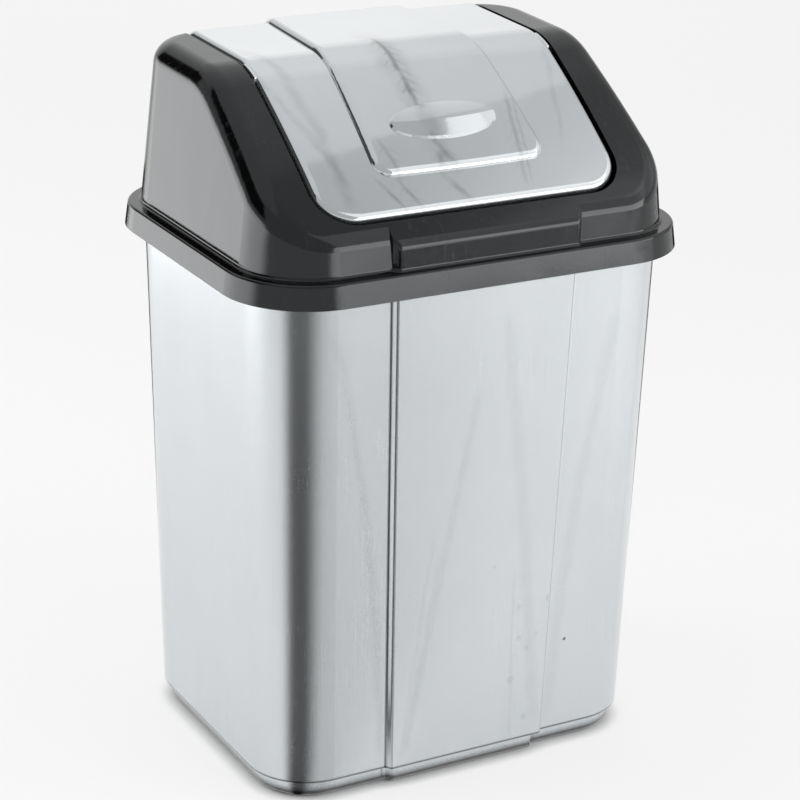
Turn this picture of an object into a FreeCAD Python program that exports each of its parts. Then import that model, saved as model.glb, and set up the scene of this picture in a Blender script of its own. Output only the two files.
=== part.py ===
import FreeCAD, Part
import math
import os

# Kitchen bin with a swing flap: a tapered bucket, a hood that drops over the bucket's rim,
# and a flap that wraps over the hood's crown and swings on two stub pins.
# Millimetres, +Z up, front towards -Y, origin at the middle of the foot on the floor.

Vector = FreeCAD.Vector

# Bucket
bin_height = 311.5
rim_width = 254.6
rim_depth = 197.0
base_width = 241.0
base_depth = 184.0
rim_corner_radius = 38.0
base_corner_radius = 36.0
bin_wall = 2.0
bin_floor = 2.5
foot_height = 10.7
foot_inset = 3.9
foot_edge_radius = 5.0
belly_edge_radius = 1.8
base_recess = 3.0
base_ring = 15.0
rim_flange = 6.4
rim_thickness = 2.0
rim_lip_drop = 8.0
rim_edge_radius = 0.8

# Raised panel on the bucket's front and back
panel_top_width = 111.0
panel_base_width = 99.0
panel_proud = 3.4
panel_ramp = 2.2
panel_edge_radius = 2.0
panel_root_radius = 2.0

# Hood: skirt and ledge
hood_wall = 2.2
ledge_thickness = 2.0
ledge_width = 7.4
skirt_height = 13.5
skirt_flare_width = 1.8
skirt_edge_radius = 1.6
skirt_clearance = 0.8

# Hood: dome, whose top runs from the back over the crown and down the front slope
wall_lean_share = 0.1
dome_height = 91.1
dome_front_height = 17.94
dome_edge_radius = 13.0
dome_root_radius = 2.0
crown_length = 83.5
crown_fall_angle = 1.4
crown_radius = 52.0
slope_radius = 712.0

# Hood: centre band at the front foot, in line with the bucket's panel
band_proud = 3.3
band_ramp = 3.0
band_edge_radius = 2.4
band_nose_radius = 7.0

# Flap, whose margins are taken from the foot of the dome
flap_side_margin = 36.3
flap_front_margin = 10.5
flap_back_margin = 12.0
flap_wall = 2.0
flap_proud = 1.2
flap_lip_depth = 8.0
flap_back_drop = 27.0
flap_back_radius = 10.0
flap_front_corner = 22.0
flap_back_corner = 9.0
flap_edge_radius = 4.0
flap_gap = 2.0
opening_lip_depth = 7.0

# Raised centre panel on the flap
crest_back_width = 87.0
crest_front_width = 107.0
crest_margin = 17.5
crest_bow_depth = 0.8
crest_height = 2.8
crest_corner = 10.0
crest_edge_radius = 4.0

# Push mark on the panel: a ridged oval
mark_margin = 27.0
mark_length = 66.0
mark_width = 26.0
mark_edge_height = 1.2
mark_ridge_height = 3.2
mark_ridge_drop = 1.5
mark_bow_depth = 3.3
mark_fall_depth = 1.6
mark_bulge_height = 0.7
mark_draft_share = 0.7

# Pivot: stub pins on the flap, ears with holes on the hood
pivot_drop = 10.6
pin_radius = 3.5
pin_overhang = 1.5
pin_clearance = 0.05
pin_tip_chamfer = 0.8
lug_radius = 7.0
lug_thickness = 3.0
ear_radius = 8.0
ear_thickness = 3.0

# Cuts run past the faces that they open by the overrun, points closer than the tolerance are one,
# and an edge runs along an axis if its direction has at least this share of it
overrun = 5.0
tolerance = 0.01
along_share = 0.99
sky_reach_share = 0.75

# Places that follow from the sizes
ledge_top = bin_height + ledge_thickness
dome_reach = rim_flange + skirt_clearance + hood_wall - ledge_width
dome_half_width = rim_width / 2 + dome_reach
dome_half_depth = rim_depth / 2 + dome_reach
crown_height = ledge_top + dome_height
crown_y = dome_half_depth - crown_length
flap_width = (dome_half_width - flap_side_margin) * 2
flap_front_y = flap_front_margin - dome_half_depth
flap_back_y = dome_half_depth - flap_back_margin
crest_front_y = flap_front_y + crest_margin
mark_y = crest_front_y + mark_margin
pivot_height = crown_height - pivot_drop

QUARTER = 90.0
X_AXIS = Vector(1, 0, 0)
Y_AXIS = Vector(0, 1, 0)
Z_AXIS = Vector(0, 0, 1)


def ring(half_x, half_y, radius, z):
    """Rounded rectangle around the Z axis at height z."""
    corners = [(1, 1), (-1, 1), (-1, -1), (1, -1)]
    arcs = []
    for index, (side_x, side_y) in enumerate(corners):
        centre = Vector(side_x * (half_x - radius), side_y * (half_y - radius), z)
        arcs.append(Part.makeCircle(radius, centre, Z_AXIS, QUARTER * index, QUARTER * (index + 1)))
    edges = []
    for index, arc in enumerate(arcs):
        follower = arcs[(index + 1) % len(arcs)]
        edges.append(arc)
        edges.append(Part.makeLine(arc.lastVertex().Point, follower.firstVertex().Point))
    return Part.Wire(edges)


def tapered(lower, upper):
    """Solid between two rings, each given as (half_x, half_y, radius, z)."""
    return Part.makeLoft([ring(*lower), ring(*upper)], True, True)


def blend(low, high, share):
    """Value between low and high."""
    return low + (high - low) * share


def edges_where(shape, test):
    """Edges of a shape whose middle point passes a test."""
    chosen = []
    for edge in shape.Edges:
        middle = edge.valueAt((edge.FirstParameter + edge.LastParameter) / 2)
        if test(edge, middle):
            chosen.append(edge)
    return chosen


def runs_along(edge, axis):
    """True if an edge sets out along an axis."""
    return abs(edge.tangentAt(edge.FirstParameter).dot(axis)) > along_share


def whole(shape):
    """The one solid of a shape, with the seams between faces of one surface taken out."""
    return shape.removeSplitter().Solids[0]


# Bucket


def bin_section(z, inset):
    """Ring of the bucket's outside at height z, drawn in by an inset."""
    share = (z - foot_height) / (bin_height - foot_height)
    half_x = blend(base_width, rim_width, share) / 2 - inset
    half_y = blend(base_depth, rim_depth, share) / 2 - inset
    radius = blend(base_corner_radius, rim_corner_radius, share) - inset
    return (half_x, half_y, radius, z)


def panel_sizes(z, inset):
    """Half widths of the panel's face and root, then Y of the wall and of the face, at height z."""
    share = (z - foot_height) / (bin_height - foot_height)
    half_top = blend(panel_base_width, panel_top_width, share) / 2 - inset
    wall_y = inset - blend(base_depth, rim_depth, share) / 2
    return half_top, half_top + panel_ramp, wall_y, wall_y - panel_proud


def panel_section(z, inset):
    """Outline of the front panel at height z, with ramped sides and a root inside the wall."""
    half_top, half_root, wall_y, face_y = panel_sizes(z, inset)
    inside_y = wall_y + overrun
    corners = [
        Vector(-half_root, inside_y, z),
        Vector(-half_root, wall_y, z),
        Vector(-half_top, face_y, z),
        Vector(half_top, face_y, z),
        Vector(half_root, wall_y, z),
        Vector(half_root, inside_y, z),
    ]
    return Part.makePolygon(corners + corners[:1])


def panel_solid(low, high, inset):
    """Front panel between two heights, with its two long edges rounded."""
    block = Part.makeLoft([panel_section(low, inset), panel_section(high, inset)], True, True)

    def on_face_edge(edge, middle):
        face_y = panel_sizes(middle.z, inset)[-1]
        return runs_along(edge, Z_AXIS) and abs(middle.y - face_y) < tolerance

    return block.makeFillet(panel_edge_radius, edges_where(block, on_face_edge))


def both_ends(solid):
    """A solid at the front and its mirror image at the back."""
    return [solid, solid.mirror(Vector(0, 0, 0), Y_AXIS)]


def belly_solid():
    """Tapered wall with a panel front and back, rounded at the panels' roots and along the lower edge."""
    wall = tapered(bin_section(foot_height, 0), bin_section(bin_height, 0))
    solid = whole(wall.multiFuse(both_ends(panel_solid(foot_height, bin_height, 0))))

    def at_root(edge, middle):
        half_root, wall_y = panel_sizes(middle.z, 0)[1:3]
        beside = abs(abs(middle.x) - half_root) < tolerance
        return beside and abs(abs(middle.y) + wall_y) < tolerance and runs_along(edge, Z_AXIS)

    solid = solid.makeFillet(panel_root_radius, edges_where(solid, at_root))
    lower = edges_where(solid, lambda edge, middle: abs(middle.z - foot_height) < tolerance)
    return solid.makeFillet(belly_edge_radius, lower)


def foot_block(gain):
    """Tapered foot with a rounded lower edge, grown in depth by a gain at each end."""
    rings = []
    for z in (0, foot_height):
        half_x, half_y, radius, z = bin_section(z, foot_inset)
        rings.append((half_x, half_y + gain, radius, z))
    foot = tapered(*rings)
    lower = edges_where(foot, lambda edge, middle: abs(middle.z) < tolerance)
    return foot.makeFillet(foot_edge_radius, lower)


def foot_solid():
    """Stepped-in foot, with both panels carried down through it."""
    panel = panel_solid(0, foot_height, foot_inset).common(foot_block(panel_proud))
    return foot_block(0).multiFuse(both_ends(panel))


def rim_solid():
    """Flange turned out at the top of the bucket, with a lip turned down."""
    flange = rim_width / 2 + rim_flange, rim_depth / 2 + rim_flange, rim_corner_radius + rim_flange
    low = bin_height - rim_lip_drop
    solid = tapered(flange + (low,), flange + (bin_height,))
    upper = edges_where(solid, lambda edge, middle: abs(middle.z - bin_height) < rim_edge_radius)
    solid = solid.makeFillet(rim_edge_radius, upper)
    inner = tuple(size - rim_thickness for size in flange)
    hollow = tapered(inner + (low - overrun,), inner + (bin_height - rim_thickness,))
    return solid.cut(hollow)


def bin_body():
    """Bucket: tapered wall, panels, foot and rim, hollowed to an even wall."""
    outside = belly_solid().multiFuse([foot_solid(), rim_solid()])
    shelf = foot_height + bin_wall
    top = bin_height + overrun
    hollow = tapered(bin_section(shelf, bin_wall), bin_section(top, bin_wall))
    hollow_panels = both_ends(panel_solid(shelf, top, bin_wall))
    well_top = bin_section(shelf + bin_wall, foot_inset + bin_wall)
    well_floor = well_top[:3] + (base_recess + bin_floor,)
    well = tapered(well_floor, well_top)
    ring_top = bin_section(foot_height, foot_inset + base_ring)
    recess = tapered(ring_top[:3] + (-overrun,), ring_top[:3] + (base_recess,))
    body = outside
    for tool in [hollow, well, recess] + hollow_panels:
        body = body.cut(tool)
    return whole(body)


# Hood


def outward(angle):
    """Unit normal of the top profile where it falls forward by an angle, in the YZ plane."""
    turn = math.radians(angle)
    return Vector(0, -math.sin(turn), math.cos(turn))


def slope_start_angle():
    """Angle where the crown runs into a slope that comes down at the dome's front height."""
    reach = Vector(0, -dome_half_depth, ledge_top + dome_front_height) - crown_centre
    lead = math.atan2(-reach.y, reach.z)
    gap = slope_radius - crown_radius
    along = (slope_radius ** 2 - gap ** 2 - reach.Length ** 2) / (2 * gap)
    return math.degrees(lead - math.acos(along / reach.Length))


crown_start = Vector(0, crown_y, crown_height)
crown_centre = crown_start - outward(crown_fall_angle) * crown_radius
slope_start = slope_start_angle()
slope_centre = crown_centre + outward(slope_start) * (crown_radius - slope_radius)
top_run = X_AXIS.cross(outward(crown_fall_angle)) * -1


def slope_angle_at(y):
    """Angle of the front slope where the reference profile reaches y."""
    return math.degrees(math.asin((slope_centre.y - y) / slope_radius))


def on_crown(angle, offset):
    """Point of the crown's arc, raised off the reference profile by an offset."""
    return crown_centre + outward(angle) * (crown_radius + offset)


def on_slope(angle, offset):
    """Point of the front slope's arc, raised off the reference profile by an offset."""
    return slope_centre + outward(angle) * (slope_radius + offset)


def arc_through(place, first, last, offset):
    """Arc edge of the profile between two angles, on the crown or on the slope."""
    middle = (first + last) / 2
    return Part.Arc(place(first, offset), place(middle, offset), place(last, offset)).toShape()


def dome_section(z, inset):
    """Ring of the dome's outside wall at height z, leaning in as it rises."""
    drawn_in = inset + (z - ledge_top) * wall_lean_share
    radius = rim_corner_radius + dome_reach
    return (dome_half_width - drawn_in, dome_half_depth - drawn_in, radius - drawn_in, z)


def sky_over_profile(offset):
    """Everything above the top profile, as a cutting tool."""
    reach = rim_depth
    back = crown_start + outward(crown_fall_angle) * offset
    back_end = back + top_run * reach
    last = slope_angle_at(-reach * sky_reach_share)
    front_end = on_slope(last, offset)
    high = crown_height + reach
    edges = [
        Part.makeLine(back_end, back),
        arc_through(on_crown, crown_fall_angle, slope_start, offset),
        arc_through(on_slope, slope_start, last, offset),
        Part.makeLine(front_end, Vector(0, front_end.y, high)),
        Part.makeLine(Vector(0, front_end.y, high), Vector(0, back_end.y, high)),
        Part.makeLine(Vector(0, back_end.y, high), back_end),
    ]
    face = Part.Face(Part.Wire(edges))
    face.translate(Vector(-rim_width, 0, 0))
    return face.extrude(Vector(rim_width * 2, 0, 0))


def dome_solid(inset, low):
    """Closed dome from a low height up, under the top profile, with its upper edge rounded."""
    walls = tapered(dome_section(low, inset), dome_section(crown_height + overrun * 2, inset))
    dome = walls.cut(sky_over_profile(-inset))

    def on_top_loop(edge, middle):
        return middle.z > low + tolerance and not runs_along(edge, Z_AXIS)

    return dome.makeFillet(dome_edge_radius - inset, edges_where(dome, on_top_loop))


def band_solid(inset):
    """Centre band at the foot of the dome's front, under the same top profile as the dome."""
    half_top = panel_top_width / 2 - inset
    half_root = half_top + band_ramp
    wall_y = inset - dome_half_depth
    face_y = wall_y - band_proud
    inside_y = wall_y + ledge_width
    low = bin_height - inset
    corners = [
        Vector(-half_root, inside_y, low),
        Vector(-half_root, wall_y, low),
        Vector(-half_top, face_y, low),
        Vector(half_top, face_y, low),
        Vector(half_root, wall_y, low),
        Vector(half_root, inside_y, low),
    ]
    outline = Part.Face(Part.makePolygon(corners + corners[:1]))
    block = outline.extrude(Vector(0, 0, crown_height - low)).cut(sky_over_profile(-inset))

    def on_nose(edge, middle):
        on_face = abs(middle.y - face_y) < tolerance and middle.z > low + tolerance
        return on_face and abs(middle.x) < half_top / 2

    block = block.makeFillet(band_nose_radius - inset, edges_where(block, on_nose))

    def on_flank(edge, middle):
        beside = abs(abs(middle.x) - half_top) < tolerance
        before_slope = middle.y < face_y + band_nose_radius / 2
        return beside and before_slope and not runs_along(edge, X_AXIS)

    return block.makeFillet(band_edge_radius - inset / 2, edges_where(block, on_flank))


def skirt_section(z, inset):
    """Ring of the skirt's outside at height z: it flares as it comes down."""
    reach = rim_flange + skirt_clearance + hood_wall - inset
    grown = reach + skirt_flare_width * (ledge_top - z) / skirt_height
    return (rim_width / 2 + grown, rim_depth / 2 + grown, rim_corner_radius + grown, z)


def skirt_solid():
    """Ledge and skirt: a shallow cap that drops over the bucket's rim."""
    low = ledge_top - skirt_height
    cap = tapered(skirt_section(low, 0), skirt_section(ledge_top, 0))
    upper = edges_where(cap, lambda edge, middle: abs(middle.z - ledge_top) < tolerance)
    cap = cap.makeFillet(skirt_edge_radius, upper)
    hollow = tapered(skirt_section(low - overrun, hood_wall), skirt_section(bin_height, hood_wall))
    return cap.cut(hollow)


# Flap


back_base = crown_start + outward(crown_fall_angle) * (flap_proud - flap_back_radius)
back_centre = back_base + top_run * ((flap_back_y - flap_back_radius - back_base.y) / top_run.y)
flap_back_low = back_centre.z + flap_back_radius - flap_back_drop


def on_back(angle, offset):
    """Point of the arc where the flap turns down at the back."""
    return back_centre + outward(angle) * max(flap_back_radius + offset - flap_proud, tolerance)


def flap_path(offset, inset):
    """Side profile of the flap at an offset, from its back edge over the crown to its front edge."""
    face = on_back(-QUARTER, offset)
    low = Vector(0, face.y, flap_back_low + inset)
    last = slope_angle_at(flap_front_y + inset)
    return [
        Part.makeLine(low, face),
        arc_through(on_back, -QUARTER, crown_fall_angle, offset),
        Part.makeLine(on_back(crown_fall_angle, offset), on_crown(crown_fall_angle, offset)),
        arc_through(on_crown, crown_fall_angle, slope_start, offset),
        arc_through(on_slope, slope_start, last, offset),
    ]


def path_ends(path):
    """First and last point of a path from flap_path."""
    first = path[0].valueAt(path[0].FirstParameter)
    last = path[-1].valueAt(path[-1].LastParameter)
    return first, last


def wrap_sheet(outer_offset, inner_offset, inset):
    """Square-cornered sheet along the flap's side profile between two offsets, drawn in by an inset."""
    outer = flap_path(outer_offset, inset)
    inner = flap_path(inner_offset, inset)
    outer_back, outer_front = path_ends(outer)
    inner_back, inner_front = path_ends(inner)
    closing = [Part.makeLine(outer_front, inner_front), Part.makeLine(inner_back, outer_back)]
    face = Part.Face(Part.Wire(Part.__sortEdges__(outer + inner + closing)))
    half = flap_width / 2 - inset
    face.translate(Vector(-half, 0, 0))
    return face.extrude(Vector(half * 2, 0, 0))


def wrap_block(outer_offset, inner_offset, inset):
    """Sheet from wrap_sheet with its four corners rounded."""
    sheet = wrap_sheet(outer_offset, inner_offset, inset)
    half = flap_width / 2 - inset
    front = path_ends(flap_path(inner_offset, inset))[1]
    facing = outward(slope_angle_at(flap_front_y + inset))

    def at_front_corner(edge, middle):
        side = abs(abs(middle.x) - half) < tolerance
        level = abs((middle - Vector(middle.x, front.y, front.z)).cross(facing).x) < tolerance
        return side and level

    def at_back_corner(edge, middle):
        side = abs(abs(middle.x) - half) < tolerance
        return side and abs(middle.z - flap_back_low - inset) < tolerance

    sheet = sheet.makeFillet(flap_front_corner - inset, edges_where(sheet, at_front_corner))
    return sheet.makeFillet(flap_back_corner - inset, edges_where(sheet, at_back_corner))


def rim_edges(solid, path):
    """Edges of a solid that bound the surface which follows a side profile."""
    wire = Part.Wire(path)
    ends = [Part.Vertex(point) for point in path_ends(path)]

    def on_rim(edge, middle):
        flat = Part.Vertex(Vector(0, middle.y, middle.z))
        if wire.distToShape(flat)[0] > tolerance:
            return False
        at_end = min(flat.distToShape(end)[0] for end in ends) < tolerance
        return at_end or not runs_along(edge, X_AXIS)

    return edges_where(solid, on_rim)


def crest_prism(inset):
    """Upright prism of the raised centre panel's outline, seen from above, with a front that bows out."""
    back_y = flap_back_y + overrun
    middle_y = crest_front_y + inset
    front_y = middle_y + crest_bow_depth
    half_back = crest_back_width / 2 - inset
    half_front = crest_front_width / 2 - inset
    left_back = Vector(-half_back, back_y, 0)
    left_front = Vector(-half_front, front_y, 0)
    right_front = Vector(half_front, front_y, 0)
    right_back = Vector(half_back, back_y, 0)
    outline = [
        Part.makeLine(right_back, left_back),
        Part.makeLine(left_back, left_front),
        Part.Arc(left_front, Vector(0, middle_y, 0), right_front).toShape(),
        Part.makeLine(right_front, right_back),
    ]
    prism = Part.Face(Part.Wire(outline)).extrude(Vector(0, 0, crown_height * 2))

    def at_front(edge, middle):
        return abs(middle.y - front_y) < tolerance and abs(abs(middle.x) - half_front) < tolerance

    return prism.makeFillet(crest_corner - inset, edges_where(prism, at_front))


def crest_solid(inset):
    """Raised centre panel from back to front, drawn in by an inset, with rounded edges and a buried root."""
    top = flap_proud + crest_height - inset
    sheet = wrap_sheet(top, top - flap_lip_depth, inset)
    crest = sheet.common(crest_prism(inset))
    wire = Part.Wire(flap_path(top, inset))

    def on_edge(edge, middle):
        flat = Part.Vertex(Vector(0, middle.y, middle.z))
        at_front = middle.y < crest_front_y + inset + crest_bow_depth
        return wire.distToShape(flat)[0] < tolerance and (at_front or not runs_along(edge, X_AXIS))

    return crest.makeFillet(crest_edge_radius - inset, edges_where(crest, on_edge))


def push_mark():
    """Oval push mark: one revolved section gives its ridge, its bow and its fall towards the ends."""
    angle = slope_angle_at(mark_y)
    normal = outward(angle)
    down = outward(angle + QUARTER)
    middle = on_slope(angle, flap_proud + crest_height)

    def place(along, height):
        return middle + down * along + normal * height

    half = mark_width / 2 + mark_edge_height
    ridge = place(mark_ridge_drop, mark_ridge_height)
    upper = place(-half, mark_edge_height)
    lower = place(half, mark_edge_height)
    bulge_height = (mark_edge_height + mark_ridge_height) / 2 + mark_bulge_height
    bulge = place((mark_ridge_drop - half) / 2, bulge_height)
    root = [place(half, -mark_edge_height), place(-half, -mark_edge_height)]
    edges = [
        Part.Arc(upper, bulge, ridge).toShape(),
        Part.makeLine(ridge, lower),
        Part.makeLine(lower, root[0]),
        Part.makeLine(root[0], root[1]),
        Part.makeLine(root[1], upper),
    ]
    section = Part.Face(Part.Wire(edges))
    sink = math.hypot(mark_bow_depth, mark_fall_depth)
    sweep_radius = (mark_length / 2) ** 2 / (2 * sink)
    towards_axis = (down * -mark_bow_depth + normal * -mark_fall_depth) * (1 / sink)
    axis_point = ridge + towards_axis * sweep_radius
    axis_way = towards_axis.cross(X_AXIS)
    reach = math.degrees(mark_length / sweep_radius)
    section.rotate(axis_point, axis_way, -reach)
    lens = section.revolve(axis_point, axis_way, reach * 2)
    rings = []
    for height in (-mark_edge_height, mark_ridge_height * 2):
        drawn_in = height * mark_draft_share
        across = X_AXIS * (mark_length / 2 - drawn_in)
        along = down * (mark_width / 2 - drawn_in)
        centre = place(0, height)
        rings.append(Part.Wire([Part.Ellipse(centre + across, centre + along, centre).toShape()]))
    return lens.common(Part.makeLoft(rings, True, True))


def flap_shell():
    """Flap without its pins: sheet with a turned-down lip, raised panel and push mark, hollowed below."""
    block = wrap_block(flap_proud, flap_proud - flap_lip_depth, 0)
    block = block.makeFillet(flap_edge_radius, rim_edges(block, flap_path(flap_proud, 0)))
    solid = block.multiFuse([crest_solid(0), push_mark()])
    under = flap_proud - flap_wall
    hollow = wrap_block(under, under - flap_lip_depth - overrun, flap_wall)
    return whole(solid.cut(hollow).cut(crest_solid(flap_wall)))


def tab(radius, inner_x, thickness, pivot, roof_offset):
    """Plate that hangs from a roof and is rounded about the pivot, on the +X side."""
    disc = Part.makeCylinder(radius, thickness, Vector(inner_x, pivot.y, pivot.z), X_AXIS)
    corner = Vector(inner_x, pivot.y - radius, pivot.z)
    neck = Part.makeBox(thickness, radius * 2, crown_height - pivot.z, corner)
    return disc.fuse(neck).cut(sky_over_profile(roof_offset))


def both_sides(solid):
    """A solid on the +X side and its mirror image."""
    return [solid, solid.mirror(Vector(0, 0, 0), X_AXIS)]


def swing_flap(shell, pivot):
    """Flap with two lugs and their stub pins on the pivot."""
    side = flap_width / 2
    lug = tab(lug_radius, side - lug_thickness, lug_thickness, pivot, flap_proud - flap_wall / 2)
    length = lug_thickness + flap_gap + ear_thickness + pin_overhang
    pin = Part.makeCylinder(pin_radius, length, Vector(side - lug_thickness, pivot.y, pivot.z), X_AXIS)
    tip = edges_where(pin, lambda edge, middle: edge.BoundBox.XMin > side + flap_gap)
    pin = pin.makeChamfer(pin_tip_chamfer, tip)
    return whole(shell.multiFuse(both_sides(lug) + both_sides(pin)))


def on_dome_foot(point):
    """True for a point where the dome or its band meets the ledge, and not on the ledge's outer edge."""
    between = (skirt_edge_radius + ledge_width - band_proud) / 2
    limit_x, limit_y = skirt_section(point.z, between)[:2]
    on_ledge = abs(point.z - ledge_top) < tolerance
    return on_ledge and abs(point.x) < limit_x and abs(point.y) < limit_y


def lid_hood(pivot):
    """Hood: skirt, dome and band hollowed to an even wall, with the flap's opening and pivot ears."""
    dome = dome_solid(0, bin_height)
    shell = skirt_solid().multiFuse([dome, band_solid(0)])
    roots = edges_where(shell, lambda edge, middle: on_dome_foot(middle))
    shell = shell.makeFillet(dome_root_radius, roots)
    shell = shell.cut(dome_solid(hood_wall, bin_height - overrun)).cut(band_solid(hood_wall))
    reach = -flap_gap - hood_wall
    lip = wrap_block(-hood_wall / 2, -opening_lip_depth, reach)
    corner = Vector(-rim_width / 2, back_centre.y, bin_height)
    behind = Part.makeBox(rim_width, rim_depth, crown_height, corner)
    opening = wrap_block(overrun * 2, -opening_lip_depth - overrun, -flap_gap)
    shell = shell.fuse(lip.cut(behind)).cut(opening)
    inner_x = flap_width / 2 + flap_gap
    ear = tab(ear_radius, inner_x, ear_thickness, pivot, -hood_wall / 2)
    bore_start = Vector(inner_x - overrun, pivot.y, pivot.z)
    hole = Part.makeCylinder(pin_radius + pin_clearance, ear_thickness + overrun * 2, bore_start, X_AXIS)
    shell = shell.multiFuse(both_sides(ear))
    for tool in both_sides(hole):
        shell = shell.cut(tool)
    return whole(shell)


def main():
    """Build the three pieces and write each to its own file."""
    os.makedirs("parts", exist_ok=True)
    shell = flap_shell()
    pivot = Vector(0, shell.CenterOfMass.y, pivot_height)
    pieces = {
        "bin_body": bin_body(),
        "lid_hood": lid_hood(pivot),
        "swing_flap": swing_flap(shell, pivot),
    }
    for name, shape in pieces.items():
        shape.exportStep("parts/" + name + ".step")
        print(name, shape.isValid(), len(shape.Solids), round(shape.Volume))
    print("pivot", round(pivot.y, 3), round(pivot.z, 3))


if __name__ == "__main__":
    main()
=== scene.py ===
"""A silver kitchen bin with a black hood and a swing flap, in its finishes and in a plain studio."""

import logging
import math
from dataclasses import dataclass
from enum import Enum

import bpy
from mathutils import Matrix, Vector

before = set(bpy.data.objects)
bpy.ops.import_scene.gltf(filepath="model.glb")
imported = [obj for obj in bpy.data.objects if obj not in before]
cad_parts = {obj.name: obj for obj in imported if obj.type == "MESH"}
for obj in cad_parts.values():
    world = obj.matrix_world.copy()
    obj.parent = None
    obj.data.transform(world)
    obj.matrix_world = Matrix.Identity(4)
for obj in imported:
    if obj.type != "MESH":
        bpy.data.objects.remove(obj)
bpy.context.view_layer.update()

log = logging.getLogger("kitchen_bin")

Pair = tuple[float, float]
Triple = tuple[float, float, float]
Socket = bpy.types.NodeSocket
Value = float | Socket

WHITE: Triple = (1.0, 1.0, 1.0)
BUMP_STRENGTH = 0.5
NOISE_MIDDLE = 0.5
HALF_SIDE = 0.5


class Node(Enum):
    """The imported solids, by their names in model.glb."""

    BUCKET = "bin_body"
    HOOD = "lid_hood"
    FLAP = "swing_flap"


class Side(Enum):
    """The ways that a drawn line can lie on a moulding: which axis it crosses and which it follows."""

    UPRIGHT = ("X", "Z")
    LEVEL = ("Z", "X")
    SLOPE = ("X", "Y")


def opaque(colour: Triple) -> tuple[float, float, float, float]:
    """A colour with full cover."""
    return (*colour, 1.0)


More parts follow.
